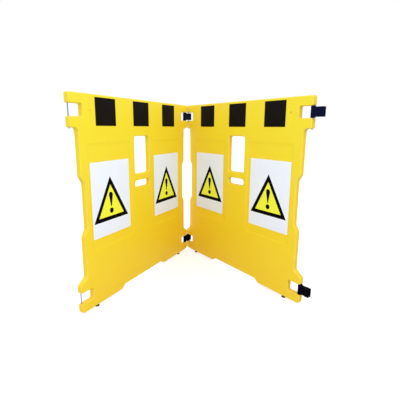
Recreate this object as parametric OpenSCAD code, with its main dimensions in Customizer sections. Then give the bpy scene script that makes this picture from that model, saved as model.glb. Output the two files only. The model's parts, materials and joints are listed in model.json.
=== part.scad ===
// Folding pedestrian barrier: two hollow moulded panels joined by pinned link clips.
// Millimetres, Z up, origin on the ground under the middle of the standing barrier.

/* [Panel] */
// Width of each panel, over its ears
panel_w = 1000; // [900:10:1200]
// Height of each panel, from its bottom edge to its top edge
panel_h = 1005; // [960:5:1100]
// Thickness of each panel
panel_t = 28; // [26:1:36]
// Wall of the hollow moulding
wall = 3; // [2:0.5:4]
// Radius of the rounded rim all round the panel
rim_r = 5; // [3:0.5:6]
// Radius of the panel's top corners
top_corner_r = 9; // [7:1:20]
// Radius of the panel's bottom corners
bottom_corner_r = 14; // [7:1:20]
// Shift of the slots, recesses, squares and bottom arch from the panel's middle, away from its hinge edge
face_shift = 9; // [0:1:12]

/* [Side edges] */
// Height of the ear at the top of each side edge
top_ear_h = 147; // [130:1:160]
// Height of the ear at the bottom of each side edge
bottom_ear_h = 137; // [125:1:150]
// Rise of the slope on top of the bottom ear
ear_slope_h = 30; // [20:1:45]
// Depth of the side edge behind the ears
side_recess = 42; // [30:1:50]
// Depth of the side edge at the waist
waist_recess = 62; // [55:1:70]
// Height of the waist's lower end above the panel's bottom edge
waist_low = 364; // [300:1:400]
// Height of the waist's upper end above the panel's bottom edge
waist_high = 644; // [600:1:700]
// Height of the slope at each end of the waist
waist_slope_h = 32; // [24:1:60]
// Radius of the bends along the side edges
bend_r = 18; // [14:1:20]
// Radius of the ears' own corners
ear_corner_r = 8; // [7:1:10]

/* [Hinge notches] */
// Depth of the notch in each ear
notch_depth = 73; // [68:1:80]
// Height of the notch in each ear
notch_h = 53; // [50:1:60]
// Distance from the panel's top edge to the top notch
top_notch_drop = 46; // [38:1:50]
// Height of the bottom notch above the panel's bottom edge
bottom_notch_rise = 48; // [40:1:52]
// Radius of the notches' inner corners
notch_corner_r = 6; // [3:1:10]

/* [Bottom edge] */
// Rise of the middle of the bottom edge
raise_h = 19; // [10:1:30]
// Width of the raised middle, along its top
raise_w = 364; // [250:2:450]
// Width of the slope at each end of the raised middle
raise_slope_w = 24; // [20:1:60]
// Radius of the bends along the bottom edge
raise_bend_r = 12; // [8:1:14]

/* [Hand slots] */
// Width of the hand slots
slot_w = 129; // [100:1:160]
// Height of the upper hand slot
slot_h = 203; // [120:1:230]
// Height of the lower hand slot
low_slot_h = 37; // [34:1:60]
// Bar between the two hand slots
slot_bar = 37; // [20:1:60]
// Distance from the panel's top edge to the upper hand slot
slot_drop = 191; // [170:1:230]
// Corner radius of the hand slots
slot_corner_r = 14; // [8:1:16]
// Radius of the rounded rim of the hand slots
slot_rim_r = 4; // [2:0.5:6]

/* [Sign recesses] */
// Distance from the hand slots to each sign recess
recess_slot_gap = 21.5; // [12:0.5:30]
// Distance from the waist of the side edge to each sign recess, before the shift
recess_edge_gap = 32; // [22:1:50]
// Height of each sign recess
recess_h = 518; // [480:2:540]
// Depth of each sign recess
recess_depth = 2; // [1.5:0.5:3]
// Distance from the panel's top edge to the sign recesses
recess_drop = 213; // [195:1:240]
// Corner radius of the sign recesses
recess_corner_r = 22; // [12:1:40]
// Width of the sloped wall round each recess
recess_slope = 5; // [2:0.5:8]

/* [Signs and squares] */
// Gap on each side of a sign sheet on its recess's floor, before it is put off centre
sign_side_gap = 18; // [16:0.5:40]
// Gap between the top of each recess's floor and its sign sheet
sign_top_gap = 86; // [5:1:130]
// Gap between each sign sheet and the bottom of its recess's floor
sign_bottom_gap = 55; // [5:1:130]
// Thickness of each sign sheet
sign_t = 1; // [0.5:0.1:1.5]
// Distance of the two sign sheets outwards from the middles of their recesses
sign_spread = 6.5; // [0:0.5:8]
// Further shift of both sign sheets away from the hinge edge
sign_shift = 4; // [0:1:8]
// Corner radius of the sign sheets
sign_corner_r = 3; // [1:0.5:10]
// Width of each black square
square_w = 137; // [100:1:160]
// Height of each black square
square_h = 127; // [100:1:130]
// Thickness of the black squares' vinyl
square_t = 0.4; // [0.2:0.1:1]
// Distance from the panel's side edges to the outer two black squares, before the shift
square_edge_gap = 158; // [140:0.5:200]
// Distance from the panel's top edge to the black squares
square_drop = 12; // [8:1:20]

/* [Moulded dimples] */
// Distance from the panel's outer edge to its dimple
dimple_inset = 120; // [100:1:140]
// Diameter of each dimple
dimple_d = 12; // [6:1:20]
// Depth of each dimple
dimple_depth = 1.5; // [0.5:0.5:2]

/* [Hinge pins] */
// Diameter of the steel hinge pins
pin_d = 5; // [4:0.5:6]
// Distance from the panel's side edge to each pin's axis
pin_inset = 7; // [6:0.5:10]
// Depth of each pin's end in the lug above its notch
pin_seat = 22; // [15:1:26]
// Length of each top pin that shows below its ear
pin_tail = 4; // [2:1:8]
// Depth of each bottom pin's end above the panel's bottom edge
pin_sunk = 3; // [2:0.5:6]
// Radial gap between a pin and the hole that it is driven into
pin_seat_gap = 0.02; // [0.01:0.01:0.05]

/* [Link clips] */
// Spacing of the two pins that a link clip joins
link_pitch = 40; // [38:1:48]
// Diameter of the closed eye, which stays on its panel's pin
eye_d = 23; // [20:1:26]
// Diameter of the open jaw, which snaps on the next panel's pin
jaw_d = 23; // [20:1:26]
// Thickness of the web between the eye and the jaw
web_t = 17; // [12:1:18]
// Gap above and below the eye in its notch
eye_gap = 0.5; // [0.3:0.1:1]
// Amount by which the jaw and web stop short of the eye at top and bottom
jaw_step = 4; // [3:0.5:6]
// Width of the jaw's throat
throat_w = 4.3; // [3.8:0.1:4.8]
// Width of the jaw's flared mouth, between the ends of its lips
mouth_w = 11; // [8:0.5:14]
// Length of the jaw's two lips, from the middle of its socket
lip_l = 17; // [14:0.5:18]
// Width over the two lips
lip_w = 20; // [18:0.5:22]
// Radius of the lips' outer corners
lip_corner_r = 2; // [1:0.5:2.5]
// Width of the slit that lets the jaw spring open
slit_w = 2; // [1:0.5:3]
// Length of that slit behind the jaw's socket
slit_l = 14; // [8:1:16]
// Radial running gap between a pin and its clip
pin_gap = 0.05; // [0.03:0.01:0.08]

/* [Feet] */
// Distance from the panel's side edge to each foot's axis
foot_inset = 105; // [85:1:130]
// Diameter of each foot's pad
foot_pad_d = 21; // [16:1:24]
// Thickness of each foot's pad
foot_pad_h = 6; // [4:1:10]
// Diameter of each foot's neck
foot_neck_d = 14; // [12:0.5:15]
// Height of each foot under the panel
foot_h = 12; // [10:1:16]
// Diameter of the plug that holds each foot in the panel
foot_plug_d = 11; // [8:0.5:11.5]
// Length of that plug
foot_plug_l = 16; // [10:1:18]
// Radial gap between a plug and its hole
foot_plug_gap = 0.05; // [0.02:0.01:0.1]
// Rounding of each foot's pad
foot_round = 1.5; // [0.5:0.5:2]

/* [Standing pose] */
// Turn of each panel from the straight line, towards the front
fold = 58.4; // [40:0.2:75]
// Turn of the middle link clips from the line across the V
link_turn = 45; // [35:1:55]

/* [Hidden] */

half_w = panel_w / 2;
pin_x = half_w - pin_inset;
pin_r = pin_d / 2;
foot_x = half_w - foot_inset;
dimple_x = half_w - dimple_inset;

// Heights of the notches, from the panel's bottom edge
top_notch_high = panel_h - top_notch_drop;
top_notch_low = top_notch_high - notch_h;
bottom_notch_low = bottom_notch_rise;
bottom_notch_high = bottom_notch_low + notch_h;
top_ear_low = panel_h - top_ear_h;
top_clip_z = (top_notch_low + top_notch_high) / 2;
bottom_clip_z = (bottom_notch_low + bottom_notch_high) / 2;

// Hand slots, from the panel's bottom edge
slot_high = panel_h - slot_drop;
slot_low = slot_high - slot_h;
low_slot_high = slot_low - slot_bar;
low_slot_low = low_slot_high - low_slot_h;

// Sign recesses, between the slots and the waist of the side edges
recess_inner = slot_w / 2 + recess_slot_gap;
recess_outer = half_w - waist_recess - recess_edge_gap;
recess_w = recess_outer - recess_inner;
recess_offset = (recess_inner + recess_outer) / 2;
recess_high = panel_h - recess_drop;
recess_low = recess_high - recess_h;
recess_floor = panel_t / 2 - recess_depth;

// Sign sheets in their recesses, and the spacing of the black squares
sign_half_w = recess_w / 2 - recess_slope - sign_side_gap;
sign_high = recess_high - recess_slope - sign_top_gap;
sign_low = recess_low + recess_slope + sign_bottom_gap;
sign_offset = recess_offset + sign_spread;
square_pitch = half_w - square_edge_gap - square_w / 2;

// Hollow of the moulding, which ends short of the notches: the ears stay solid
hollow_half_w = half_w - notch_depth - wall;
hollow_low = raise_h + wall;
hollow_high = panel_h - wall;
hollow_t = panel_t - 2 * wall;

eye_h = notch_h - 2 * eye_gap;
jaw_h = eye_h - 2 * jaw_step;
bore_r = pin_r + pin_gap;

// Places of the two middle pins, and the middle of the standing barrier's box
link_half = [cos(link_turn), sin(link_turn)] * link_pitch / 2;
panel_reach = panel_w - pin_inset;
lip_reach = panel_w - 2 * pin_inset + link_pitch + lip_l - lip_corner_r;
lip_out = lip_w / 2 - lip_corner_r;
box_left = -link_half[0] - panel_reach * cos(fold) - panel_t / 2 * sin(fold);
box_right = link_half[0] + max(lip_reach * cos(fold) + lip_out * sin(fold) + lip_corner_r,
                               panel_reach * cos(fold) + panel_t / 2 * sin(fold));
box_front = min(-link_half[1] - panel_reach * sin(fold) - panel_t / 2 * cos(fold),
                link_half[1] - lip_reach * sin(fold) - lip_out * cos(fold) - lip_corner_r);
box_back = link_half[1] + pin_inset * sin(fold) + panel_t / 2 * cos(fold);
box_middle = [(box_left + box_right) / 2, (box_front + box_back) / 2];
left_hinge = -link_half - box_middle;
right_hinge = link_half - box_middle;

corner_steps = 3;
rim_steps = 3;
cut = 1;
$fn = 64;

moulding_yellow = "#F4DC2C";
clip_black = "#151A2E";
steel_grey = "#9AA6B2";
foot_black = "#1B1B1D";
vinyl_black = "#191617";
sheet_white = "#F1F2F8";

// Outlines are lists of corners [x, z, radius], anticlockwise as seen from the front

function place(corner) = [corner[0], corner[1]];
function unit(v) = v / norm(v);
function left_of(v) = [-v[1], v[0]];
function turned(v, angle) = [v[0] * cos(angle) - v[1] * sin(angle), v[0] * sin(angle) + v[1] * cos(angle)];

// One rounded corner, moved inwards by inset, as points along its arc
function corner_arc(before, here, after, inset) =
  let (
    way_in = unit(place(here) - place(before)),
    way_out = unit(place(after) - place(here)),
    bend = way_in[0] * way_out[1] - way_in[1] * way_out[0],
    side = bend > 0 ? 1 : -1,
    inner = left_of(way_in) + left_of(way_out),
    tip = place(here) + inset * inner / (1 + way_in * way_out),
    half_turn = acos(way_in * way_out) / 2,
    radius = here[2] - side * inset,
    centre = tip + side * radius / cos(half_turn) * unit(inner),
    start = tip - way_in * radius * tan(half_turn) - centre
  )
  [for (k = [0 : corner_steps]) centre + turned(start, side * 2 * half_turn * k / corner_steps)];

// A whole outline, moved inwards by inset
function ring(corners, inset) =
  let (n = len(corners))
  [for (i = [0 : n - 1]) each corner_arc(corners[(i + n - 1) % n], corners[i], corners[(i + 1) % n], inset)];

function box_corners(low, high, half, r) = [[half, low, r], [half, high, r], [-half, high, r], [-half, low, r]];

// The panel's own X runs from its hinge edge to its outer edge, from -half_w to half_w.
// Its outline: the outer edge from the bottom corner up to the top corner, its mirror image down the hinge edge,
// and the raised middle of the bottom edge
outer_edge = [
  [half_w, 0, bottom_corner_r],
  [half_w, bottom_notch_low, ear_corner_r],
  [half_w - notch_depth, bottom_notch_low, notch_corner_r],
  [half_w - notch_depth, bottom_notch_high, notch_corner_r],
  [half_w, bottom_notch_high, ear_corner_r],
  [half_w, bottom_ear_h, ear_corner_r],
  [half_w - side_recess, bottom_ear_h + ear_slope_h, bend_r],
  [half_w - side_recess, waist_low, bend_r],
  [half_w - waist_recess, waist_low + waist_slope_h, bend_r],
  [half_w - waist_recess, waist_high - waist_slope_h, bend_r],
  [half_w - side_recess, waist_high, bend_r],
  [half_w - side_recess, top_ear_low, bend_r],
  [half_w, top_ear_low, ear_corner_r],
  [half_w, top_notch_low, ear_corner_r],
  [half_w - notch_depth, top_notch_low, notch_corner_r],
  [half_w - notch_depth, top_notch_high, notch_corner_r],
  [half_w, top_notch_high, ear_corner_r],
  [half_w, panel_h, top_corner_r]
];
hinge_edge = [for (i = [len(outer_edge) - 1 : -1 : 0]) [-outer_edge[i][0], outer_edge[i][1], outer_edge[i][2]]];
raised_middle = [
  [face_shift - raise_w / 2 - raise_slope_w, 0, raise_bend_r],
  [face_shift - raise_w / 2, raise_h, raise_bend_r],
  [face_shift + raise_w / 2, raise_h, raise_bend_r],
  [face_shift + raise_w / 2 + raise_slope_w, 0, raise_bend_r]
];
panel_outline = concat(outer_edge, hinge_edge, raised_middle);

slot_outline = box_corners(slot_low, slot_high, slot_w / 2, slot_corner_r);
low_slot_outline = box_corners(low_slot_low, low_slot_high, slot_w / 2, slot_corner_r);
recess_outline = box_corners(recess_low, recess_high, recess_w / 2, recess_corner_r);
recess_places = [face_shift - recess_offset, face_shift + recess_offset];

// Triangles that fill an outline, found by cutting off one convex corner after another
function area_sign(a, b, c) = (b[0] - a[0]) * (c[1] - a[1]) - (b[1] - a[1]) * (c[0] - a[0]);
function covers(a, b, c, p) = area_sign(a, b, p) >= 0 && area_sign(b, c, p) >= 0 && area_sign(c, a, p) >= 0;
function corner_ids(ids, i) = [ids[(i + len(ids) - 1) % len(ids)], ids[i], ids[(i + 1) % len(ids)]];

function can_cut(points, ids, t) =
  area_sign(points[t[0]], points[t[1]], points[t[2]]) > 0
  && len([for (j = ids)
       if (j != t[0] && j != t[1] && j != t[2] && covers(points[t[0]], points[t[1]], points[t[2]], points[j])) j]) == 0;

function next_cut(points, ids, i = 0) =
  can_cut(points, ids, corner_ids(ids, i)) || i == len(ids) - 1 ? i : next_cut(points, ids, i + 1);

function filling(points, ids) =
  len(ids) == 3 ? [ids] :
  let (i = next_cut(points, ids))
  concat([corner_ids(ids, i)], filling(points, [for (j = [0 : len(ids) - 1]) if (j != i) ids[j]]));

// A solid through rings of equal length, each given as [y, points in x and z], from front to back
module loft(rings) {
  n = len(rings[0][1]);
  far = (len(rings) - 1) * n;
  points = [for (r = rings) for (p = r[1]) [p[0], r[0], p[1]]];
  sides = [
    for (k = [0 : len(rings) - 2])
      for (i = [0 : n - 1])
        let (a = k * n + i, b = k * n + (i + 1) % n)
        each [[a, b, b + n], [a, b + n, a + n]]
  ];
  cap = filling(rings[0][1], [for (i = [0 : n - 1]) i]);
  front = [for (t = cap) [t[2], t[1], t[0]]];
  back = [for (t = cap) [t[0] + far, t[1] + far, t[2] + far]];
  polyhedron(points, concat(front, sides, back));
}

// Rings round a rim of radius r: inwards at the faces, so a slab is rounded; outwards, so a hole is flared
function rim_front(corners, r, way) =
  [for (k = [0 : rim_steps])
    let (angle = 90 * k / rim_steps)
    [-panel_t / 2 + r * (1 - cos(angle)), ring(corners, way * r * (1 - sin(angle)))]];

function rim_back(corners, r, way) =
  let (front = rim_front(corners, r, way))
  [for (k = [rim_steps : -1 : 0]) [-front[k][0], front[k][1]]];

module rounded_slab() {
  loft(concat(rim_front(panel_outline, rim_r, 1), rim_back(panel_outline, rim_r, 1)));
}

module flared_hole(corners) {
  mouth = ring(corners, -slot_rim_r);
  loft(concat([[-panel_t / 2 - cut, mouth]],
              rim_front(corners, slot_rim_r, -1),
              rim_back(corners, slot_rim_r, -1),
              [[panel_t / 2 + cut, mouth]]));
}

// Shallow recess with sloped walls, cut into the front face
module recess_cut() {
  loft([
    [-panel_t / 2 - cut, ring(recess_outline, 0)],
    [-panel_t / 2, ring(recess_outline, 0)],
    [-recess_floor, ring(recess_outline, recess_slope)]
  ]);
}

module both_faces() {
  children();
  mirror([0, 1, 0]) children();
}

module both_sides() {
  children();
  mirror([1, 0, 0]) children();
}

// Turns a flat outline in x and z into a slab of thickness t about the panel's middle
module slab(t) {
  rotate([90, 0, 0])
    linear_extrude(t, center = true)
      children();
}

// The air inside the moulding, clear of the slots and of the recesses by the wall
module hollow() {
  difference() {
    slab(hollow_t)
      difference() {
        translate([-hollow_half_w, hollow_low])
          square([2 * hollow_half_w, hollow_high - hollow_low]);
        translate([face_shift, 0]) {
          polygon(ring(slot_outline, -wall - slot_rim_r));
          polygon(ring(low_slot_outline, -wall - slot_rim_r));
        }
      }
    both_faces()
      for (x = recess_places)
        translate([x, -panel_t / 2, 0])
          slab(2 * (recess_depth + wall))
            polygon(ring(recess_outline, -wall));
  }
}

module pin_hole(low, high) {
  translate([pin_x, 0, low])
    cylinder(h = high - low, r = pin_r + pin_seat_gap);
}

module dimple() {
  ball_r = (pow(dimple_d / 2, 2) + pow(dimple_depth, 2)) / (2 * dimple_depth);
  translate([dimple_x, -panel_t / 2 - ball_r + dimple_depth, top_clip_z])
    sphere(r = ball_r);
}

// One blow-moulded panel, about its own middle line, its front towards -Y. Both faces are alike
module panel() {
  color(moulding_yellow)
    difference() {
      rounded_slab();
      translate([face_shift, 0, 0]) {
        flared_hole(slot_outline);
        flared_hole(low_slot_outline);
      }
      both_faces()
        for (x = recess_places)
          translate([x, 0, 0])
            recess_cut();
      hollow();
      both_faces()
        dimple();
      both_sides() {
        pin_hole(top_ear_low - cut, top_notch_high + pin_seat);
        pin_hole(-cut, bottom_notch_high + pin_seat);
        translate([foot_x, 0, -cut])
          cylinder(h = hollow_low + 2 * cut, d = foot_plug_d + 2 * foot_plug_gap);
      }
    }
}

module top_pin() {
  color(steel_grey)
    translate([pin_x, 0, top_ear_low - pin_tail])
      cylinder(h = pin_tail + top_notch_high - top_ear_low + pin_seat, r = pin_r);
}

module bottom_pin() {
  color(steel_grey)
    translate([pin_x, 0, pin_sunk])
      cylinder(h = bottom_notch_high - pin_sunk + pin_seat, r = pin_r);
}

// Rubber foot: a rounded pad and neck under the panel, on a plug pressed up into it
module foot() {
  color(foot_black)
    translate([foot_x, 0, -foot_h])
      rotate_extrude()
        difference() {
          union() {
            square([foot_pad_d / 2 - foot_round, foot_pad_h]);
            translate([0, foot_round])
              square([foot_pad_d / 2, foot_pad_h - 2 * foot_round]);
            for (z = [foot_round, foot_pad_h - foot_round])
              translate([foot_pad_d / 2 - foot_round, z])
                circle(r = foot_round);
            square([foot_neck_d / 2, foot_h]);
            square([foot_plug_d / 2, foot_h + foot_plug_l]);
          }
          translate([-foot_pad_d, -cut])
            square([foot_pad_d, foot_h + foot_plug_l + 2 * cut]);
        }
}

// Squares are counted from the middle one: -1 is next to the hinge edge, 1 next to the outer edge
module black_square(place) {
  color(vinyl_black)
    translate([face_shift + place * square_pitch - square_w / 2,
               -panel_t / 2 - square_t,
               panel_h - square_drop - square_h])
      cube([square_w, square_t, square_h]);
}

// Of the two sign sheets, -1 is next to the hinge edge and 1 next to the outer edge
module sign_sheet(place) {
  color(sheet_white)
    translate([face_shift + sign_shift + place * sign_offset, -recess_floor - sign_t / 2, 0])
      slab(sign_t)
        polygon(ring(box_corners(sign_low, sign_high, sign_half_w, sign_corner_r), 0));
}

// Flat outline of the web and the jaw, whose throat opens between two lips, away from the eye
module jaw_outline() {
  throat_x = sqrt(pow(bore_r, 2) - pow(throat_w / 2, 2));
  difference() {
    union() {
      translate([0, -web_t / 2])
        square([link_pitch, web_t]);
      translate([link_pitch, 0]) {
        circle(d = jaw_d);
        translate([0, -lip_w / 2])
          square([lip_l - lip_corner_r, lip_w]);
        translate([0, -lip_out])
          square([lip_l, 2 * lip_out]);
        for (y = [-lip_out, lip_out])
          translate([lip_l - lip_corner_r, y])
            circle(r = lip_corner_r);
      }
    }
    translate([link_pitch, 0])
      polygon([
        [0, throat_w / 2], [0, -throat_w / 2],
        [throat_x + pin_r, -throat_w / 2], [lip_l + cut, -mouth_w / 2],
        [lip_l + cut, mouth_w / 2], [throat_x + pin_r, throat_w / 2]
      ]);
    translate([link_pitch - slit_l, -slit_w / 2])
      square([slit_l, slit_w]);
  }
}

// One link clip, its eye on the origin and its jaw along +X, level with the middle of its notch
module link_clip() {
  color(clip_black)
    difference() {
      union() {
        cylinder(h = eye_h, d = eye_d, center = true);
        linear_extrude(jaw_h, center = true)
          jaw_outline();
      }
      cylinder(h = eye_h + 2 * cut, r = bore_r, center = true);
      translate([link_pitch, 0, 0])
        cylinder(h = eye_h + 2 * cut, r = bore_r, center = true);
    }
}

// Places of the pieces in the standing barrier. The left panel is the same moulding, turned round

module on_left_panel() {
  translate([left_hinge[0], left_hinge[1], foot_h])
    rotate(fold)
      mirror([1, 0, 0])
        translate([pin_x, 0, 0])
          children();
}

module on_right_panel() {
  translate([right_hinge[0], right_hinge[1], foot_h])
    rotate(-fold)
      translate([pin_x, 0, 0])
        children();
}

module middle_clip(z) {
  translate([left_hinge[0], left_hinge[1], foot_h + z])
    rotate(link_turn)
      link_clip();
}

module free_clip(z) {
  on_right_panel()
    translate([pin_x, 0, z])
      link_clip();
}

module left_panel() { on_left_panel() panel(); }
module right_panel() { on_right_panel() panel(); }

left_panel();
right_panel();

on_left_panel() top_pin();  // left_outer_top_pin
on_left_panel() bottom_pin();  // left_outer_bottom_pin
on_left_panel() mirror([1, 0, 0]) top_pin();  // left_inner_top_pin
on_left_panel() mirror([1, 0, 0]) bottom_pin();  // left_inner_bottom_pin
on_right_panel() mirror([1, 0, 0]) top_pin();  // right_inner_top_pin
on_right_panel() mirror([1, 0, 0]) bottom_pin();  // right_inner_bottom_pin
on_right_panel() top_pin();  // right_outer_top_pin
on_right_panel() bottom_pin();  // right_outer_bottom_pin

middle_clip(top_clip_z);  // middle_top_clip
middle_clip(bottom_clip_z);  // middle_bottom_clip
free_clip(top_clip_z);  // free_top_clip
free_clip(bottom_clip_z);  // free_bottom_clip

on_left_panel() foot();  // left_outer_foot
on_left_panel() mirror([1, 0, 0]) foot();  // left_inner_foot
on_right_panel() mirror([1, 0, 0]) foot();  // right_inner_foot
on_right_panel() foot();  // right_outer_foot

on_left_panel() black_square(1);  // left_outer_square
on_left_panel() black_square(0);  // left_middle_square
on_left_panel() black_square(-1);  // left_inner_square
on_right_panel() black_square(-1);  // right_inner_square
on_right_panel() black_square(0);  // right_middle_square
on_right_panel() black_square(1);  // right_outer_square

on_left_panel() sign_sheet(1);  // left_outer_sign
on_left_panel() sign_sheet(-1);  // left_inner_sign
on_right_panel() sign_sheet(-1);  // right_inner_sign
on_right_panel() sign_sheet(1);  // right_outer_sign
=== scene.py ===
"""Folding pedestrian barrier: two blow-moulded panels that stand in a V, linked by clips on steel pins."""
import json
import math

import bmesh
import bpy
from mathutils import Matrix, Vector


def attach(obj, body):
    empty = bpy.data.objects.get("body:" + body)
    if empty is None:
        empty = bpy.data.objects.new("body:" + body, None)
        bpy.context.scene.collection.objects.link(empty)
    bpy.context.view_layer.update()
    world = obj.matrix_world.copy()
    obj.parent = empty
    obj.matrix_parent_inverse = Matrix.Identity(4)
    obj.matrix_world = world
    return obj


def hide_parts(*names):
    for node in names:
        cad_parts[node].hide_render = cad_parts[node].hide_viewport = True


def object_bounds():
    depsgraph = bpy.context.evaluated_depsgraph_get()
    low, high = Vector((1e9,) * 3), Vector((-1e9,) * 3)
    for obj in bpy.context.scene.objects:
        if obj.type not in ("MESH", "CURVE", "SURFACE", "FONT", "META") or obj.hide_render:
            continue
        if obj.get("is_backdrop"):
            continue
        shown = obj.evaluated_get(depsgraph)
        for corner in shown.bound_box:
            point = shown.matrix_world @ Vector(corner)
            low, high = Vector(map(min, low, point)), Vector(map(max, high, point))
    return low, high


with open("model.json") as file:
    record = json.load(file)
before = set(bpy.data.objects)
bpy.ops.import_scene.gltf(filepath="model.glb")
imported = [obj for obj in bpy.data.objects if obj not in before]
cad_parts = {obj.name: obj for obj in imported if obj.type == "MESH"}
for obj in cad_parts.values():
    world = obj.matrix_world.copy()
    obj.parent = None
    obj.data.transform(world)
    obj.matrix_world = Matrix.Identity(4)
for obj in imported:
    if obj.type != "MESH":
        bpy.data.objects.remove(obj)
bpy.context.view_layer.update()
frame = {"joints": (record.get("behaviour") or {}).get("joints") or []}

# Panels: two equal hollow shells of yellow polyethylene, each blown in a mould that parts along the middle of its
# edge. Both faces have two shallow recesses for signs; two hand slots go right through, and notched ears at the four
# corners hold the hinge pins. The left panel is the right one turned round.
MM = 0.001
PANEL_T = 28
RIM_R = 5
RIM_STEPS = 5
BEAD_HALF_W = 0.5
BEAD_SLOPE = 0.3
FACE_SHIFT = 9
PIN_X = 493
FOOT_H = 12
FOLD = math.radians(58.4)

# Outlines are corners (x, z, radius) in millimetres, anticlockwise from the front; spans are (low, high)
OUTER_EDGE = [
    (500, 0, 14), (500, 48, 8), (427, 48, 6), (427, 101, 6), (500, 101, 8), (500, 137, 8),
    (458, 167, 18), (458, 364, 18), (438, 396, 18), (438, 612, 18), (458, 644, 18), (458, 858, 18),
    (500, 858, 8), (500, 906, 8), (427, 906, 6), (427, 959, 6), (500, 959, 8), (500, 1005, 9),
]
HINGE_EDGE = [(-x, z, r) for x, z, r in reversed(OUTER_EDGE)]
BOTTOM_ARCH = [(-197, 0, 12), (-173, 19, 12), (191, 19, 12), (215, 0, 12)]
SLOT_SPANS = ((611, 814), (537, 574))
SLOT_HALF_W = 64.5
SLOT_CORNER_R = 14
RECESS_OFFSET = 246
RECESS_SPAN = (274, 792)
RECESS_HALF_W = 160
RECESS_CORNER_R = 22
RECESS_SLOPE = [(2, -0.08), (3, -0.36), (5.5, -1.12), (3, -0.36), (2, -0.08)]
DIMPLE_X = 380
DIMPLE_Z = 932.5
DIMPLE_R = 6
DIMPLE_SLOPE = [(0.2, -0.3), (0.3, -1.0), (0.3, -1.0), (0.4, -0.4), (0.6, -0.1)]


def box(x, span, half, r):
    """Corners of a rounded rectangle about x."""
    low, high = span
    return [(x + half, low, r), (x + half, high, r), (x - half, high, r), (x - half, low, r)]


def rounded_face(bm, corners, mark, segments=7):
    """A flat face in the panel's plane with its corners rounded. Its material index carries the mark."""
    verts = [bm.verts.new((x, 0, z)) for x, z, r in corners]
    face = bm.faces.new(verts)
    face.material_index = mark
    for i, (x, z, r) in enumerate(corners):
        here = Vector((x, z))
        way_in = here - Vector(corners[i - 1][:2])
        way_out = Vector(corners[(i + 1) % len(corners)][:2]) - here
        slide = r * math.tan(way_in.angle(way_out) / 2)
        bmesh.ops.bevel(bm, geom=[verts[i]], offset=slide, offset_type="OFFSET", segments=segments, profile=0.5,
                        affect="VERTICES", clamp_overlap=False, material=-1)


def disc(bm, x, z, r, mark):
    """A flat round face in the panel's plane, marked in the same way."""
    spot = Matrix.Translation((x, 0, z)) @ Matrix.Rotation(math.pi / 2, 4, "X")
    ring = bmesh.ops.create_circle(bm, cap_ends=True, radius=r, segments=32, matrix=spot)
    for f in {f for v in ring["verts"] for f in v.link_faces}:
        f.material_index = mark


def marked(bm, *marks):
    return [f for f in bm.faces if f.material_index in marks]


def only(geom, kind):
    return [g for g in geom if isinstance(g, kind)]


def face_front(bm):
    """Turns every face of a flat sheet to the front."""
    for f in bm.faces:
        f.normal_update()
        if f.normal.y > 0:
            f.normal_flip()


def inset_by(bm, faces, steps):
    """Insets faces by steps of (inwards, out of the face), which leaves a slope or a round about them."""
    for inwards, out in steps:
        bmesh.ops.inset_region(bm, faces=faces, thickness=inwards, depth=out,
                               use_boundary=True, use_even_offset=True)


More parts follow.
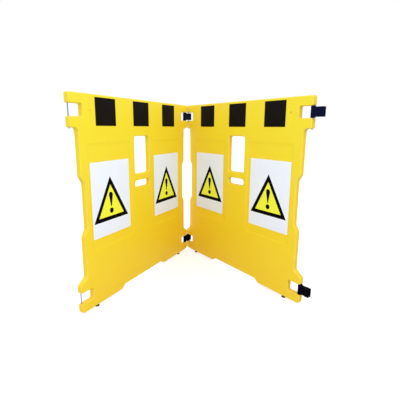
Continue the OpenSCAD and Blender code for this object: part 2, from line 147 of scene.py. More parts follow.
def panel_shell():
    """One panel in its own frame, in millimetres: X from the hinge edge to the outer edge, front towards -Y."""
    face_mark, hole_mark, recess_mark, dimple_mark = range(4)
    bm = bmesh.new()
    worn = bm.verts.layers.float.new("rim_wear")
    edge_shade_layer = bm.verts.layers.float.new("painted_edge_shade")
    dimple_shade_layer = bm.verts.layers.float.new("painted_dimple_shade")
    rounded_face(bm, OUTER_EDGE + HINGE_EDGE + BOTTOM_ARCH, face_mark)
    for span in SLOT_SPANS:
        rounded_face(bm, box(FACE_SHIFT, span, SLOT_HALF_W, SLOT_CORNER_R), hole_mark)
    for x in (FACE_SHIFT - RECESS_OFFSET, FACE_SHIFT + RECESS_OFFSET):
        rounded_face(bm, box(x, RECESS_SPAN, RECESS_HALF_W, RECESS_CORNER_R), recess_mark)
    disc(bm, DIMPLE_X, DIMPLE_Z, DIMPLE_R, dimple_mark)

    # The flat face between all the outlines; the recesses and the dimple are put back as faces of their own
    outlines = list(bm.edges)
    inner = [(list(f.verts), f.material_index) for f in marked(bm, recess_mark, dimple_mark)]
    bmesh.ops.delete(bm, geom=list(bm.faces), context="FACES_ONLY")
    bmesh.ops.triangle_fill(bm, edges=outlines, use_beauty=True, normal=(0, -1, 0))
    for f in bm.faces:
        f.material_index = face_mark
    for verts, mark in inner:
        bm.faces.new(verts).material_index = mark
    face_front(bm)

    def rise(faces, height):
        grown = bmesh.ops.extrude_face_region(bm, geom=faces)["geom"]
        bmesh.ops.translate(bm, verts=only(grown, bmesh.types.BMVert), vec=(0, -height, 0))
        return only(grown, bmesh.types.BMFace)

    # Half the thickness: the parting line's bead, the straight wall, and the rounded rim
    middle = list(bm.faces)
    top = rise(middle, BEAD_HALF_W)
    bmesh.ops.delete(bm, geom=middle, context="FACES")
    inset_by(bm, top, [(BEAD_SLOPE, BEAD_SLOPE)])
    top = rise(top, PANEL_T / 2 - RIM_R - BEAD_HALF_W - BEAD_SLOPE)
    turns = [math.pi / 2 * k / RIM_STEPS for k in range(RIM_STEPS + 1)]
    inset_by(bm, top, [(RIM_R * (math.cos(a) - math.cos(b)), RIM_R * (math.sin(b) - math.sin(a)))
                       for a, b in zip(turns, turns[1:])])

    # How far up the rounded rim each vertex is: handling rubs the middle of the round, and the wall below gets painted
    # shade
    for v in bm.verts:
        share = min(1, max(0, (-v.co.y - (PANEL_T / 2 - RIM_R)) / RIM_R))
        v[worn] = math.sin(2 * math.asin(share))
        v[edge_shade_layer] = 1 - share
    for f in [f for f in top if f.material_index == recess_mark]:
        inset_by(bm, [f], RECESS_SLOPE)
    for f in [f for f in top if f.material_index == dimple_mark]:
        inset_by(bm, [f], DIMPLE_SLOPE)
        # The dimple's floor is flagged for a painted shade.
        for v in f.verts:
            v[dimple_shade_layer] = 1
    bmesh.ops.mirror(bm, geom=bm.verts[:] + bm.edges[:] + bm.faces[:], axis="Y", merge_dist=0.01)
    bmesh.ops.recalc_face_normals(bm, faces=bm.faces)
    for f in bm.faces:
        f.material_index = 0
    return bm


def way_to(side, end="outer"):
    """The way along a panel's X to its outer or inner end, 1 or -1."""
    return (1 if side == "right" else -1) * (1 if end == "outer" else -1)


def hinge_foot(side):
    """The point of a panel's hinge axis that is level with the panel's bottom edge."""
    hinge = next(j["pos_m"] for j in frame["joints"] if j["name"] == side + "_hinge")
    return Matrix.Translation((hinge[0], hinge[1], FOOT_H * MM))


def on_panel(side):
    """The panel's frame in the standing barrier: its own X runs to the right, from millimetres to metres."""
    way = way_to(side)
    return (hinge_foot(side) @ Matrix.Rotation(-way * FOLD, 4, "Z") @ Matrix.Scale(MM, 4)
            @ Matrix.Translation((way * PIN_X, 0, 0)))


def finished(bm, node, form, materials, body, edge_r=0):
    """A bmesh in its place becomes a piece that rides on a body and stands for a CAD node. Sharp edges may be rounded,
    and large flat faces keep flat highlights beside rounded ones."""
    name = f"{node}_{form}"
    mesh = bpy.data.meshes.new(name)
    bm.to_mesh(mesh)
    bm.free()
    mesh.shade_smooth()
    piece = bpy.data.objects.new(name, mesh)
    bpy.context.scene.collection.objects.link(piece)
    for material in materials:
        mesh.materials.append(material)
    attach(piece, body)
    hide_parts(node)
    if edge_r:
        edge = piece.modifiers.new("edge", "BEVEL")
        edge.width = edge_r * MM
        edge.segments = 3
        edge.limit_method = "ANGLE"
        edge.angle_limit = math.radians(30)
        edge.use_clamp_overlap = True
    weighted = piece.modifiers.new("even_shading", "WEIGHTED_NORMAL")
    weighted.mode = "FACE_AREA"
    weighted.keep_sharp = True


def linear(hex_colour):
    """sRGB hex to the linear colour that a shader takes."""
    channels = [int(hex_colour[i:i + 2], 16) / 255 for i in (1, 3, 5)]
    return [c / 12.92 if c <= 0.04045 else ((c + 0.055) / 1.055) ** 2.4 for c in channels] + [1]


def add(tree, kind, inputs=(), **settings):
    """A shader node with its settings; inputs are values or other nodes' outputs, by socket name or number. A colour
    Mix takes its share at 0 and its colours at 6 and 7, and gives its result at 2."""
    node = tree.nodes.new(kind)
    for key, value in settings.items():
        setattr(node, key, value)
    for key, value in dict(inputs).items():
        if isinstance(value, bpy.types.NodeSocket):
            tree.links.new(value, node.inputs[key])
        else:
            node.inputs[key].default_value = value
    return node


def new_material(name):
    """A material with its node tree, its shader, and the piece's own coordinates."""
    material = bpy.data.materials.new(name)
    material.use_nodes = True
    tree = material.node_tree
    shader = tree.nodes["Principled BSDF"]
    place = add(tree, "ShaderNodeTexCoord").outputs["Object"]
    return material, tree, shader, place


def per_mm(size):
    """Scale of a texture whose pattern repeats at about this size in millimetres, on coordinates in metres."""
    return 1 / (size * MM)


# Blow-moulded polyethylene: a satin yellow skin that takes the mould's fine blasted grain, drawn coarser than life so
# that it shows, and sinks in slow waves where the wall cooled unevenly. The yellow is clouded a little. Painted light
# makes it paler and more lemon towards the top, painted shade and warm bounce light make it more golden towards the
# middle hinge, and painted shade deepens it along the side walls, most on the right panel, and in the dimples. Rims
# are rubbed pale and dull in patches.
CLOUD_SHARE = 0.3
RUBBED_SHARE = 0.4
RUBBED_DULLNESS = 0.15
DIMPLE_SHADE_SHARE = 0.45
blown_polyethylene, tree, shader, place = new_material("blown_polyethylene")
spot = add(tree, "ShaderNodeSeparateXYZ", {"Vector": place})
# Painted light: the yellow turns paler and more lemon towards the top, where more light falls.
painted_top_light = add(tree, "ShaderNodeMapRange", {"Value": spot.outputs["Z"], "From Min": 60 * MM, "From Max": 950 * MM,
                                            "To Min": 0.0, "To Max": 0.8})
cloud = add(tree, "ShaderNodeTexNoise", {"Vector": place, "Scale": per_mm(120), "Detail": 3.0, "Roughness": 0.5})
lemon = add(tree, "ShaderNodeMath", {0: cloud.outputs["Fac"], 1: CLOUD_SHARE, 2: painted_top_light.outputs["Result"]},
            operation="MULTIPLY_ADD")
tint = add(tree, "ShaderNodeValToRGB", {"Fac": lemon.outputs[0]})
tint.color_ramp.elements[0].color = linear("#F5CF26")
tint.color_ramp.elements[1].color = linear("#EEDF2D")
# Painted shade and warm bounce light: the yellow turns more golden towards the hinge, in the corner between the
# panels.
painted_hinge_bounce = add(tree, "ShaderNodeMapRange", {"Value": spot.outputs["Y"], "From Min": -450 * MM, "From Max": 440 * MM,
                                           "To Min": 0.0, "To Max": 0.3})
golden = add(tree, "ShaderNodeMix", {0: painted_hinge_bounce.outputs["Result"], 6: tint.outputs["Color"], 7: linear("#FFC81E")},
             data_type="RGBA")
# Painted shade: the side walls under the rims are deepened towards a darker gold, more on the right panel than the
# left.
edge = add(tree, "ShaderNodeAttribute", attribute_name="painted_edge_shade")
depth = add(tree, "ShaderNodeMapRange", {"Value": spot.outputs["X"], "From Min": -400 * MM, "From Max": 400 * MM,
                                         "To Min": 0.3, "To Max": 0.7})
edge_shade_share = add(tree, "ShaderNodeMath", {0: edge.outputs["Fac"], 1: depth.outputs["Result"]}, operation="MULTIPLY")
edge_shaded = add(tree, "ShaderNodeMix", {0: edge_shade_share.outputs[0], 6: golden.outputs[2], 7: linear("#DBB21E")},
            data_type="RGBA")
rim = add(tree, "ShaderNodeAttribute", attribute_name="rim_wear")
rub = add(tree, "ShaderNodeTexNoise", {"Vector": place, "Scale": per_mm(24), "Detail": 5.0, "Roughness": 0.65})
patches = add(tree, "ShaderNodeMapRange", {"Value": rub.outputs["Fac"], "From Min": 0.48, "From Max": 0.62})
rubbed = add(tree, "ShaderNodeMath", {0: rim.outputs["Fac"], 1: patches.outputs["Result"]}, operation="MULTIPLY")
rub_share = add(tree, "ShaderNodeMath", {0: rubbed.outputs[0], 1: RUBBED_SHARE}, operation="MULTIPLY")
skin = add(tree, "ShaderNodeMix", {0: rub_share.outputs[0], 6: edge_shaded.outputs[2], 7: linear("#F1E27C")},
           data_type="RGBA")
# Painted shade: the dimple's floor is made darker, towards an olive gold.
dimple_shade = add(tree, "ShaderNodeAttribute", attribute_name="painted_dimple_shade")
dimple_shade_share = add(tree, "ShaderNodeMath", {0: dimple_shade.outputs["Fac"], 1: DIMPLE_SHADE_SHARE}, operation="MULTIPLY")
dimple_shaded = add(tree, "ShaderNodeMix", {0: dimple_shade_share.outputs[0], 6: skin.outputs[2], 7: linear("#B99A2E")},
             data_type="RGBA")
tree.links.new(dimple_shaded.outputs[2], shader.inputs["Base Color"])
shader.inputs["IOR"].default_value = 1.54
shader.inputs["Specular IOR Level"].default_value = 0.25
scuff = add(tree, "ShaderNodeTexNoise", {"Vector": place, "Scale": per_mm(14), "Detail": 4.0, "Roughness": 0.6})
satin = add(tree, "ShaderNodeMapRange", {"Value": scuff.outputs["Fac"], "From Min": 0.3, "From Max": 0.7,
                                         "To Min": 0.40, "To Max": 0.52})
dull = add(tree, "ShaderNodeMath", {0: rubbed.outputs[0], 1: RUBBED_DULLNESS, 2: satin.outputs["Result"]},
           operation="MULTIPLY_ADD")
tree.links.new(dull.outputs[0], shader.inputs["Roughness"])
wave = add(tree, "ShaderNodeTexNoise", {"Vector": place, "Scale": per_mm(85), "Detail": 1.0})
grain = add(tree, "ShaderNodeTexNoise", {"Vector": place, "Scale": per_mm(1.6), "Detail": 2.0})
wave_bump = add(tree, "ShaderNodeBump", {"Height": wave.outputs["Fac"], "Distance": 0.6 * MM, "Strength": 0.5})
grain_bump = add(tree, "ShaderNodeBump", {"Height": grain.outputs["Fac"], "Distance": 0.05 * MM, "Strength": 0.5,
                                          "Normal": wave_bump.outputs["Normal"]})
tree.links.new(grain_bump.outputs["Normal"], shader.inputs["Normal"])

for side in ("left", "right"):
    shell = panel_shell()
    if side == "left":
        bmesh.ops.rotate(shell, verts=shell.verts, matrix=Matrix.Rotation(math.pi, 3, "Z"))
    shell.transform(on_panel(side))
    finished(shell, side + "_panel", "moulding", [blown_polyethylene], side + "_panel")

# Hinge pins: drawn steel rods, zinc plated, one across each ear's notch. Each is driven through its ear, so both of
# its ends sit in the moulding; a top pin's lower end shows a little below the ear.
PIN_R = 2.5
PIN_CHAMFER = 0.4
PIN_SPANS = {"top": (854, 981), "bottom": (3, 123)}


def turned(profile, steps):
    """A round piece about Z: the profile (radius, height) from axis to axis, spun a full turn."""
    bm = bmesh.new()
    verts = [bm.verts.new((r, 0, z)) for r, z in profile]
    edges = [bm.edges.new(pair) for pair in zip(verts, verts[1:])]
    bmesh.ops.spin(bm, geom=verts + edges, cent=(0, 0, 0), axis=(0, 0, 1), angle=2 * math.pi, steps=steps,
                   use_merge=True)
    bmesh.ops.remove_doubles(bm, verts=bm.verts, dist=0.001)
    bmesh.ops.recalc_face_normals(bm, faces=bm.faces)
    return bm


# Zinc-plated drawn steel: a cool bright grey with lines along the rod from the drawing die, coarser than life so that
# they show close by
drawn_steel, tree, shader, place = new_material("zinc_plated_drawn_steel")
along = add(tree, "ShaderNodeMapping", {"Vector": place, "Scale": (1, 1, 0.02)})
lines = add(tree, "ShaderNodeTexNoise", {"Vector": along.outputs["Vector"], "Scale": per_mm(0.5), "Detail": 3.0})
plating = add(tree, "ShaderNodeValToRGB", {"Fac": lines.outputs["Fac"]})
plating.color_ramp.elements[0].color = linear("#67778F")
plating.color_ramp.elements[1].color = linear("#98A5B8")
tree.links.new(plating.outputs["Color"], shader.inputs["Base Color"])
shader.inputs["Metallic"].default_value = 1.0
dull = add(tree, "ShaderNodeMapRange", {"Value": lines.outputs["Fac"], "To Min": 0.25, "To Max": 0.45})
tree.links.new(dull.outputs["Result"], shader.inputs["Roughness"])
line_bump = add(tree, "ShaderNodeBump", {"Height": lines.outputs["Fac"], "Distance": 0.02 * MM, "Strength": 0.4})
tree.links.new(line_bump.outputs["Normal"], shader.inputs["Normal"])

for side in ("left", "right"):
    for end in ("outer", "inner"):
        for level, (low, high) in PIN_SPANS.items():
            rod = turned([(0, low), (PIN_R - PIN_CHAMFER, low), (PIN_R, low + PIN_CHAMFER),
                          (PIN_R, high - PIN_CHAMFER), (PIN_R - PIN_CHAMFER, high), (0, high)], steps=40)
            rod.transform(on_panel(side) @ Matrix.Translation((way_to(side, end) * PIN_X, 0, 0)))
            finished(rod, f"{side}_{end}_{level}_pin", "rod", [drawn_steel], side + "_panel")

# Link clips: injection-moulded in dark nylon. A tall closed eye turns on one panel's pin; a web joins it to an open
# jaw, shorter than the eye, whose two flared lips snap on the next panel's pin. A slit behind the jaw lets it spring.
TOP_CLIP_Z = 932.5
BOTTOM_CLIP_Z = 74.5
LINK_TURN = math.radians(45)
LINK_PITCH = 40
EYE_R = 11.5
EYE_H = 52
JAW_R = 11.5
JAW_H = 44
LIP_L = 17
LIP_W = 20
LIP_CORNER_R = 2
WEB_T = 17
BORE_R = 2.55
THROAT_W = 4.3
MOUTH_W = 11
SLIT_W = 2
SLIT_L = 14
CLIP_EDGE_R = 0.7
OVERCUT = 1
OVERLAP = 0.1


def cylinder(x, r, h):
    bm = bmesh.new()
    bmesh.ops.create_cone(bm, cap_ends=True, segments=72, radius1=r, radius2=r, depth=h,
                          matrix=Matrix.Translation((x, 0, 0)))
    return bm


def block(x0, x1, w, h):
    bm = bmesh.new()
    middle = Matrix.Translation(((x0 + x1) / 2, 0, 0))
    bmesh.ops.create_cube(bm, size=1, matrix=middle @ Matrix.Diagonal((x1 - x0, w, h, 1)))
    return bm


def carved(body, others):
    """A solid with others joined to it or cut out of it, in order, as a new bmesh."""
    def solid(bm):
        mesh = bpy.data.meshes.new("blank")
        bm.to_mesh(mesh)
        bm.free()
        blank = bpy.data.objects.new("blank", mesh)
        bpy.context.scene.collection.objects.link(blank)
        return blank
    base = solid(body)
    tools = []
    for operation, bm in others:
        tools.append(solid(bm))
        step = base.modifiers.new("step", "BOOLEAN")
        step.operation = operation
        step.solver = "EXACT"
        step.object = tools[-1]
    result = bmesh.new()
    bpy.context.view_layer.update()
    result.from_object(base, bpy.context.evaluated_depsgraph_get())
    for blank in tools + [base]:
        bpy.data.meshes.remove(blank.data)
    return result


def link_clip():
    """One clip in millimetres, its eye on the origin and its jaw along +X."""
    throat_x = LINK_PITCH + math.sqrt(BORE_R ** 2 - (THROAT_W / 2) ** 2)
    mouth_x = throat_x + PIN_R
    lip_end = LINK_PITCH + LIP_L
    cut_h = JAW_H + 2 * OVERCUT
    lips = block(LINK_PITCH, lip_end, LIP_W, JAW_H)
    corners = [e for e in lips.edges if all(v.co.x > lip_end - 1 for v in e.verts)
               and e.verts[0].co.y == e.verts[1].co.y]
    bmesh.ops.bevel(lips, geom=corners, offset=LIP_CORNER_R, offset_type="OFFSET", segments=5, profile=0.5,
                    affect="EDGES", material=-1)
    mouth = block(mouth_x, lip_end + OVERCUT, THROAT_W, cut_h)
    for v in mouth.verts:
        if v.co.x > lip_end:
            v.co.y *= MOUTH_W / THROAT_W
    bm = carved(cylinder(0, EYE_R, EYE_H), [
        ("UNION", block(0, LINK_PITCH, WEB_T, JAW_H)),
        ("UNION", cylinder(LINK_PITCH, JAW_R, JAW_H)),
        ("UNION", lips),
        ("DIFFERENCE", cylinder(0, BORE_R, EYE_H + 2 * OVERCUT)),
        ("DIFFERENCE", cylinder(LINK_PITCH, BORE_R, cut_h)),
        ("DIFFERENCE", block(LINK_PITCH, mouth_x + OVERLAP, THROAT_W, cut_h)),
        ("DIFFERENCE", mouth),
        ("DIFFERENCE", block(LINK_PITCH - SLIT_L, LINK_PITCH, SLIT_W, cut_h)),
    ])
    bmesh.ops.remove_doubles(bm, verts=bm.verts, dist=0.005)
    bmesh.ops.dissolve_limit(bm, angle_limit=math.radians(1), verts=bm.verts, edges=bm.edges)
    return bm


# Moulded nylon: a spark-eroded grain, coarser than life so that it shows close by, and a soft sheen that varies a
# little. The edges are scuffed paler and duller in places, where clips knock against pins and ground. The upper clips
# are painted bluer and lighter, as skylight falling on them from above; the lower ones are plain black.
SCUFF_DULLNESS = 0.2


def nylon_material(name, low, high, scuff, sheen):
    """Nylon between two close colours, with edges scuffed towards a third."""
    material, tree, shader, place = new_material(name)
    mottle = add(tree, "ShaderNodeTexNoise", {"Vector": place, "Scale": per_mm(9), "Detail": 2.0})
    shade = add(tree, "ShaderNodeValToRGB", {"Fac": mottle.outputs["Fac"]})
    shade.color_ramp.elements[0].color = linear(low)
    shade.color_ramp.elements[1].color = linear(high)
    rounded = add(tree, "ShaderNodeBevel", {"Radius": 1.2 * MM}, samples=6)
    surface = add(tree, "ShaderNodeNewGeometry")
    bend = add(tree, "ShaderNodeVectorMath", {0: rounded.outputs["Normal"], 1: surface.outputs["Normal"]},
               operation="DOT_PRODUCT")
    edges = add(tree, "ShaderNodeMapRange", {"Value": bend.outputs["Value"], "From Min": 0.995, "From Max": 0.92})
    knocks = add(tree, "ShaderNodeTexNoise", {"Vector": place, "Scale": per_mm(5), "Detail": 4.0, "Roughness": 0.65})
    knocked = add(tree, "ShaderNodeMapRange", {"Value": knocks.outputs["Fac"], "From Min": 0.45, "From Max": 0.6,
                                               "To Min": 0.0, "To Max": 0.6})
    scuffed = add(tree, "ShaderNodeMath", {0: edges.outputs["Result"], 1: knocked.outputs["Result"]},
                  operation="MULTIPLY")
    colour = add(tree, "ShaderNodeMix", {0: scuffed.outputs[0], 6: shade.outputs["Color"], 7: linear(scuff)},
                 data_type="RGBA")
    tree.links.new(colour.outputs[2], shader.inputs["Base Color"])
    gloss = add(tree, "ShaderNodeMapRange", {"Value": mottle.outputs["Fac"], "From Min": 0.3, "From Max": 0.7,
                                             "To Min": 0.36, "To Max": 0.48})
    dull = add(tree, "ShaderNodeMath", {0: scuffed.outputs[0], 1: SCUFF_DULLNESS, 2: gloss.outputs["Result"]},
               operation="MULTIPLY_ADD")
    tree.links.new(dull.outputs[0], shader.inputs["Roughness"])
    shader.inputs["IOR"].default_value = 1.53
    shader.inputs["Specular IOR Level"].default_value = sheen
    spark = add(tree, "ShaderNodeTexNoise", {"Vector": place, "Scale": per_mm(0.7), "Detail": 2.0})
    spark_bump = add(tree, "ShaderNodeBump", {"Height": spark.outputs["Fac"], "Distance": 0.06 * MM, "Strength": 0.5})
    tree.links.new(spark_bump.outputs["Normal"], shader.inputs["Normal"])
    return material


# Painted light: the upper clips' copy is bluer and lighter, as skylight from above; the lower copy is plain black.
skylit_blue_black_nylon = nylon_material("skylit_blue_black_nylon", "#020617", "#07123A", "#262D42", 0.04)
black_nylon = nylon_material("black_nylon", "#010106", "#040514", "#12131A", 0.015)

between_panels = hinge_foot("left") @ Matrix.Rotation(LINK_TURN, 4, "Z") @ Matrix.Scale(MM, 4)
at_free_end = on_panel("right") @ Matrix.Translation((PIN_X, 0, 0))
for node, body, stand, z, nylon in (
        ("middle_top_clip", "middle_clips", between_panels, TOP_CLIP_Z, skylit_blue_black_nylon),
        ("middle_bottom_clip", "middle_clips", between_panels, BOTTOM_CLIP_Z, black_nylon),
        ("free_top_clip", "free_top_clip", at_free_end, TOP_CLIP_Z, skylit_blue_black_nylon),
        ("free_bottom_clip", "free_bottom_clip", at_free_end, BOTTOM_CLIP_Z, black_nylon)):
    clip = link_clip()
    clip.transform(stand @ Matrix.Translation((0, 0, z)))
    finished(clip, node, "link", [nylon], body, edge_r=CLIP_EDGE_R)

# Feet: small buttons of black rubber, four in all. Each has a plug that is pushed up into a hole in the panel's
# bottom edge, and a round pad that stands on the ground.
FOOT_X = 395
FOOT_PROFILE = [
    (0, -12), (8.6, -12), (9.4, -11.8), (10.1, -11.3), (10.5, -10.5), (10.5, -7.5), (10.1, -6.6), (9.4, -6.1),
    (8.2, -5.8), (7.4, -5.2), (7, -4.2), (7, -0.6), (6.6, 0), (5.5, 0), (5.5, 15), (4.8, 16), (0, 16),
]

# Moulded rubber: matt black with pores, coarser than life so that they show close by, and a faint grey bloom; pale
# dust clings to it near the ground
moulded_rubber, tree, shader, place = new_material("moulded_rubber")
bloom = add(tree, "ShaderNodeTexNoise", {"Vector": place, "Scale": per_mm(6), "Detail": 3.0})
black = add(tree, "ShaderNodeValToRGB", {"Fac": bloom.outputs["Fac"]})
black.color_ramp.elements[0].color = linear("#161617")
black.color_ramp.elements[1].color = linear("#242425")
spot = add(tree, "ShaderNodeSeparateXYZ", {"Vector": place})
ground = add(tree, "ShaderNodeMapRange", {"Value": spot.outputs["Z"], "From Min": 9 * MM, "From Max": 0.0,
                                          "To Min": 0.0, "To Max": 0.5})
dust = add(tree, "ShaderNodeMath", {0: ground.outputs["Result"], 1: bloom.outputs["Fac"]}, operation="MULTIPLY")
dusty = add(tree, "ShaderNodeMix", {0: dust.outputs[0], 6: black.outputs["Color"], 7: linear("#7A756B")},
            data_type="RGBA")
tree.links.new(dusty.outputs[2], shader.inputs["Base Color"])
matt = add(tree, "ShaderNodeMapRange", {"Value": bloom.outputs["Fac"], "To Min": 0.68, "To Max": 0.82})
tree.links.new(matt.outputs["Result"], shader.inputs["Roughness"])
pores = add(tree, "ShaderNodeTexNoise", {"Vector": place, "Scale": per_mm(0.8), "Detail": 2.0})
pore_bump = add(tree, "ShaderNodeBump", {"Height": pores.outputs["Fac"], "Distance": 0.1 * MM, "Strength": 0.5})
tree.links.new(pore_bump.outputs["Normal"], shader.inputs["Normal"])

for side in ("left", "right"):
    for end in ("outer", "inner"):
        foot = turned(FOOT_PROFILE, steps=48)
        foot.transform(on_panel(side) @ Matrix.Translation((way_to(side, end) * FOOT_X, 0, 0)))
        finished(foot, f"{side}_{end}_foot", "button", [moulded_rubber], side + "_panel")

# Black squares: three on each panel, cut from self-adhesive black vinyl and rubbed down on the face under the top
# edge. They are a warning pattern against the yellow.
SQUARE_T = 0.4
SQUARE_PITCH = 273.5
SQUARE_SPAN = (866, 993)
SQUARE_HALF_W = 68.5
SQUARE_CORNER_R = 1.5

# Black vinyl film: near black and evenly satin, with the slight ripple of film rubbed down by hand
black_vinyl, tree, shader, place = new_material("black_vinyl_film")
faint = add(tree, "ShaderNodeTexNoise", {"Vector": place, "Scale": per_mm(40), "Detail": 3.0})
film = add(tree, "ShaderNodeValToRGB", {"Fac": faint.outputs["Fac"]})
film.color_ramp.elements[0].color = linear("#0A0708")
film.color_ramp.elements[1].color = linear("#110D0D")
tree.links.new(film.outputs["Color"], shader.inputs["Base Color"])
satin = add(tree, "ShaderNodeMapRange", {"Value": faint.outputs["Fac"], "From Min": 0.3, "From Max": 0.7,
                                         "To Min": 0.40, "To Max": 0.50})
tree.links.new(satin.outputs["Result"], shader.inputs["Roughness"])
shader.inputs["IOR"].default_value = 1.5
shader.inputs["Specular IOR Level"].default_value = 0.07
peel = add(tree, "ShaderNodeTexNoise", {"Vector": place, "Scale": per_mm(5), "Detail": 2.0})
peel_bump = add(tree, "ShaderNodeBump", {"Height": peel.outputs["Fac"], "Distance": 0.05 * MM, "Strength": 0.4})
tree.links.new(peel_bump.outputs["Normal"], shader.inputs["Normal"])

for side in ("left", "right"):
    for end, step in (("inner", -1), ("middle", 0), ("outer", 1)):
        x = way_to(side) * (FACE_SHIFT + step * SQUARE_PITCH)
        square = bmesh.new()
        rounded_face(square, box(x, SQUARE_SPAN, SQUARE_HALF_W, SQUARE_CORNER_R), 0, segments=4)
        bmesh.ops.solidify(square, geom=square.faces[:], thickness=SQUARE_T)
        front = min(v.co.y for v in square.verts)
        bmesh.ops.translate(square, verts=square.verts, vec=(0, -PANEL_T / 2 - SQUARE_T - front, 0))
        bmesh.ops.recalc_face_normals(square, faces=square.faces)
        square.transform(on_panel(side))
        finished(square, f"{side}_{end}_square", "film", [black_vinyl], side + "_panel")

# Signs: rigid white plastic sheets stuck in the recesses, one in each of the four on the front faces. Each is screen
# printed with the common warning triangle: a black border, a yellow field and an exclamation mark.
SIGN_T = 1
SIGN_FACE_Y = -13
SIGN_X = 13
SIGN_OFFSET = 252.5
SIGN_SPAN = (334, 701)
SIGN_HALF_W = 137
SIGN_CORNER_R = 3
TRIANGLE_BASE_Z = 407
TRIANGLE_TOP_Z = 626
TRIANGLE_HALF_W = 124
TRIANGLE_CORNER_R = 1
BORDER_W = 20
STROKE_TOP_Z = 548
STROKE_LOW_Z = 474
STROKE_TOP_R = 17
STROKE_LOW_R = 2.5
STROKE_ROUNDING = 0.95
DOT_Z = 453.5
DOT_R = 13.5


# White plastic sheet and screen ink: nearly one colour each, with a slight drift and a fine orange peel, drawn coarser
# than life so that it shows close by. The sheet has a soft sheen, and the black ink is the dullest.
def sheet_material(name, low, high, roughness, sheen):
    """Plastic sheet or the ink on it, drifting from low to high in colour."""
    material, tree, shader, place = new_material(name)
    drift = add(tree, "ShaderNodeTexNoise", {"Vector": place, "Scale": per_mm(60), "Detail": 2.0})
    colour = add(tree, "ShaderNodeValToRGB", {"Fac": drift.outputs["Fac"]})
    colour.color_ramp.elements[0].color = linear(low)
    colour.color_ramp.elements[1].color = linear(high)
    tree.links.new(colour.outputs["Color"], shader.inputs["Base Color"])
    satin = add(tree, "ShaderNodeMapRange", {"Value": drift.outputs["Fac"], "From Min": 0.3, "From Max": 0.7,
                                             "To Min": roughness - 0.05, "To Max": roughness + 0.05})
    tree.links.new(satin.outputs["Result"], shader.inputs["Roughness"])
    shader.inputs["IOR"].default_value = 1.5
    shader.inputs["Specular IOR Level"].default_value = sheen
    fine = add(tree, "ShaderNodeTexNoise", {"Vector": place, "Scale": per_mm(2.5), "Detail": 2.0})
    bump = add(tree, "ShaderNodeBump", {"Height": fine.outputs["Fac"], "Distance": 0.03 * MM, "Strength": 0.4})
    tree.links.new(bump.outputs["Normal"], shader.inputs["Normal"])
    return material


white_sheet = sheet_material("white_sheet", "#E8F1FD", "#EDF5FD", 0.38, 0.4)
black_ink = sheet_material("black_screen_ink", "#040303", "#080707", 0.5, 0.02)
yellow_ink = sheet_material("yellow_screen_ink", "#EFF238", "#F4F742", 0.42, 0.3)


def sign_sheet(sheet_x, shift, lean):
    """One sign about sheet_x in the panel's frame, its sheet and inks all in one printed face. The print's middle is
    shifted on the sheet, and its top leans sideways."""
    sheet, border, field, stroke = range(4)
    x = sheet_x + shift
    height = TRIANGLE_TOP_Z - TRIANGLE_BASE_Z
    slope = math.hypot(height, TRIANGLE_HALF_W)
    field_top = TRIANGLE_TOP_Z - BORDER_W * slope / TRIANGLE_HALF_W
    field_low = TRIANGLE_BASE_Z + BORDER_W
    field_half = TRIANGLE_HALF_W * (field_top - field_low) / height
    bm = bmesh.new()
    rounded_face(bm, box(sheet_x, SIGN_SPAN, SIGN_HALF_W, SIGN_CORNER_R), sheet, segments=4)
    for mark, low, top, half in ((border, TRIANGLE_BASE_Z, TRIANGLE_TOP_Z, TRIANGLE_HALF_W),
                                 (field, field_low, field_top, field_half)):
        rounded_face(bm, [(x + half, low, TRIANGLE_CORNER_R), (x, top, TRIANGLE_CORNER_R),
                          (x - half, low, TRIANGLE_CORNER_R)], mark, segments=3)
    rounded_face(bm, [(x + way * r, z, r * STROKE_ROUNDING)
                      for way, r, z in ((1, STROKE_LOW_R, STROKE_LOW_Z), (1, STROKE_TOP_R, STROKE_TOP_Z),
                                        (-1, STROKE_TOP_R, STROKE_TOP_Z), (-1, STROKE_LOW_R, STROKE_LOW_Z))],
                 stroke, segments=6)
    disc(bm, x, DOT_Z, DOT_R, stroke)
    for v in {v for f in marked(bm, border, field, stroke) for v in f.verts}:
        v.co.x += lean * (v.co.z - TRIANGLE_BASE_Z) / height

    # Each colour fills the space between its own outline and the next one in; stroke and dot are whole faces
    loops = [[e for f in marked(bm, mark) for e in f.edges] for mark in (sheet, border, field, stroke)]
    whole = [list(f.verts) for f in marked(bm, stroke)]
    bmesh.ops.delete(bm, geom=bm.faces[:], context="FACES_ONLY")
    for mark in (sheet, border, field):
        filled = bmesh.ops.triangle_fill(bm, edges=loops[mark] + loops[mark + 1], use_beauty=True, normal=(0, -1, 0))
        for f in only(filled["geom"], bmesh.types.BMFace):
            f.material_index = mark
    for verts in whole:
        bm.faces.new(verts).material_index = border
    face_front(bm)
    back = bmesh.ops.extrude_face_region(bm, geom=bm.faces[:], use_keep_orig=True)["geom"]
    bmesh.ops.translate(bm, verts=only(back, bmesh.types.BMVert), vec=(0, SIGN_T, 0))
    bmesh.ops.translate(bm, verts=bm.verts, vec=(0, SIGN_FACE_Y, 0))
    for f in bm.faces:
        f.normal_update()
        if f.calc_center_median().y > SIGN_FACE_Y + 0.01:
            f.material_index = sheet
    bmesh.ops.recalc_face_normals(bm, faces=bm.faces)
    return bm


for side, end, offset, shift, lean in (
        ("left", "inner", -SIGN_OFFSET, 4, 0),
        ("left", "outer", SIGN_OFFSET, 5.5, 4),
        ("right", "inner", -SIGN_OFFSET, 4.5, 0),
        ("right", "outer", SIGN_OFFSET, 0, -4)):
    way = way_to(side)
    sign = sign_sheet(way * (SIGN_X + offset), way * shift, way * lean)
    sign.transform(on_panel(side))
    finished(sign, f"{side}_{end}_sign", "sheet", [white_sheet, black_ink, yellow_ink], side + "_panel")

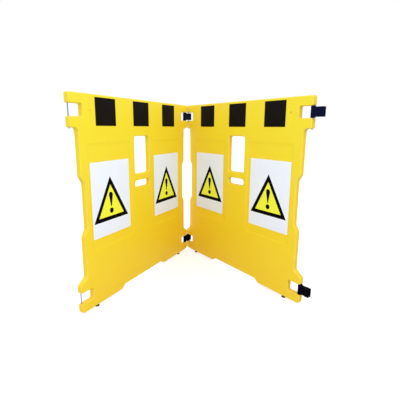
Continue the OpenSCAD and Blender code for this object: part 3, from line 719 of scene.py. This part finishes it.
# Studio: a plain pale floor that keeps a soft shadow, and an even, slightly cool surround that gives most of the
# light. A soft lamp on the right lights the left panel a little more, and another fills in from the front.
FLOOR_SIZE = 30
FLOOR_GLOW = 0.57
SURROUND_LEVEL = 1.386
SURROUND_COLOUR = (0.909, 0.909, 1, 1)
WHITE = (1, 1, 1, 1)
LAMP_AIM = (0, 0, 0.5)


def seen_rays(tree):
    """1 where a surface is looked at, straight on or in gloss or glass, and 0 where it only lights the scene."""
    rays = add(tree, "ShaderNodeLightPath")
    seen = add(tree, "ShaderNodeMath", {0: rays.outputs["Is Camera Ray"], 1: rays.outputs["Is Glossy Ray"]},
               operation="MAXIMUM")
    seen = add(tree, "ShaderNodeMath", {0: seen.outputs[0], 1: rays.outputs["Is Transmission Ray"]},
               operation="MAXIMUM")
    return seen.outputs[0]


floor_mesh = bpy.data.meshes.new("floor")
floor_bm = bmesh.new()
bmesh.ops.create_grid(floor_bm, x_segments=1, y_segments=1, size=FLOOR_SIZE)
floor_bm.to_mesh(floor_mesh)
floor_bm.free()
floor = bpy.data.objects.new("floor", floor_mesh)
bpy.context.scene.collection.objects.link(floor)
floor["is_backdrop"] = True
floor_white, tree, shader, place = new_material("floor_white")
shader.inputs["Base Color"].default_value = linear("#C9C9CB")
shader.inputs["Roughness"].default_value = 0.9
shader.inputs["Specular IOR Level"].default_value = 0.0
glow = add(tree, "ShaderNodeMath", {0: seen_rays(tree), 1: FLOOR_GLOW}, operation="MULTIPLY")
tree.links.new(glow.outputs[0], shader.inputs["Emission Strength"])
shader.inputs["Emission Color"].default_value = WHITE
floor_mesh.materials.append(floor_white)

world = bpy.data.worlds.new("surround")
bpy.context.scene.world = world
world.use_nodes = True
tree = world.node_tree
surround = tree.nodes["Background"]
seen = seen_rays(tree)
level = add(tree, "ShaderNodeMapRange", {"Value": seen, "To Min": SURROUND_LEVEL, "To Max": 1.0})
tree.links.new(level.outputs["Result"], surround.inputs["Strength"])
cool = add(tree, "ShaderNodeMix", {0: seen, 6: SURROUND_COLOUR, 7: WHITE}, data_type="RGBA")
tree.links.new(cool.outputs[2], surround.inputs["Color"])

for name, spot, power, size in (("key", (0.9, -1.9, 1.9), 7, 1.2),
                                ("front", (0, -3.4, 2.6), 6, 1.6)):
    lamp = bpy.data.lights.new(name, "AREA")
    lamp.shape = "DISK"
    lamp.size = size
    lamp.energy = power
    holder = bpy.data.objects.new(name, lamp)
    holder.location = spot
    holder.rotation_euler = (Vector(LAMP_AIM) - Vector(spot)).to_track_quat("-Z", "Y").to_euler()
    bpy.context.scene.collection.objects.link(holder)

# Camera: where the photograph was taken from, a little left of the middle and just under the panels' top edge.
# Its place, turn and lens come from matching the panels' corners; the small shift is the picture's framing.
PICTURE_PX = 400
FOCAL_PX = 332.369
CENTRE_PX = (196.665, 197.332)
SENSOR_W = 36
EYE = (-0.109076, -1.889419, 0.873355)
YAW, PITCH, ROLL = (math.radians(a) for a in (4.176, -11.870, 0.335))
ahead = Vector((math.sin(YAW) * math.cos(PITCH), math.cos(YAW) * math.cos(PITCH), math.sin(PITCH)))
right = Vector((math.cos(YAW), -math.sin(YAW), 0))
up = right.cross(ahead)
right, up = (math.cos(ROLL) * right + math.sin(ROLL) * up, math.cos(ROLL) * up - math.sin(ROLL) * right)
camera = bpy.data.cameras.new("camera")
camera.sensor_width = SENSOR_W
camera.lens = SENSOR_W * FOCAL_PX / PICTURE_PX
camera.shift_x = (PICTURE_PX / 2 - CENTRE_PX[0]) / PICTURE_PX
camera.shift_y = (CENTRE_PX[1] - PICTURE_PX / 2) / PICTURE_PX
viewer = bpy.data.objects.new("camera", camera)
viewer.matrix_world = Matrix.Translation(EYE) @ Matrix((right, up, -ahead)).transposed().to_4x4()
bpy.context.scene.collection.objects.link(viewer)
bpy.context.scene.camera = viewer
bpy.context.scene.view_settings.view_transform = "Standard"

low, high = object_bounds()
